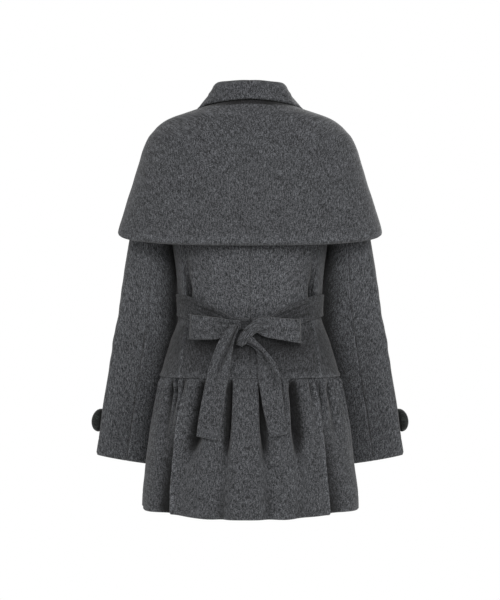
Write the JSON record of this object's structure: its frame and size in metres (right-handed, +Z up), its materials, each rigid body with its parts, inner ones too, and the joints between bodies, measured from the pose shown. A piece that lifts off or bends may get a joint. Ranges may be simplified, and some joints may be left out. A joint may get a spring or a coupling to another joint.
{
  "type": "wool cape coat",
  "caption": "Short charcoal wool coat with a shoulder cape, a fold-over collar, a belt tied in a bow behind, a gathered lower tier and long flared sleeves.",
  "frame": {"origin": "midway between the wearer's shoulders, level with the side neck points, where the coat is held when worn", "axes": "+Z up, the coat's front faces -Y and its back +Y, +X towards the wearer's left"},
  "size_m": [0.6258, 0.3101, 0.835],
  "materials": {
    "wool_coating": "charcoal melange wool, brushed",
    "wool_belt": "charcoal melange wool, pressed double",
    "dome_button": "dark cloth-covered dome"
  },
  "bodies": {
    "root": {"back_panel_left": "wool_coating", "front_panel_left": "wool_coating", "side_panel_left": "wool_coating", "back_panel_right": "wool_coating", "front_panel_right": "wool_coating", "side_panel_right": "wool_coating", "sleeve_top_left": "wool_coating", "sleeve_under_left": "wool_coating", "sleeve_top_right": "wool_coating", "sleeve_under_right": "wool_coating", "tier_back": "wool_coating", "tier_front_left": "wool_coating", "tier_front_right": "wool_coating", "cape_back": "wool_coating", "cape_front_left": "wool_coating", "cape_front_right": "wool_coating", "collar": "wool_coating", "belt_strap_left": "wool_belt", "bow_loop_left": "wool_belt", "bow_tail_left": "wool_belt", "belt_strap_right": "wool_belt", "bow_loop_right": "wool_belt", "bow_tail_right": "wool_belt", "belt_knot": "wool_belt", "cuff_button_left": "dome_button", "cuff_button_right": "dome_button", "front_button_1": "dome_button", "front_button_2": "dome_button", "front_button_3": "dome_button", "front_button_4": "dome_button", "front_button_5": "dome_button"}
  },
  "joints": []
}
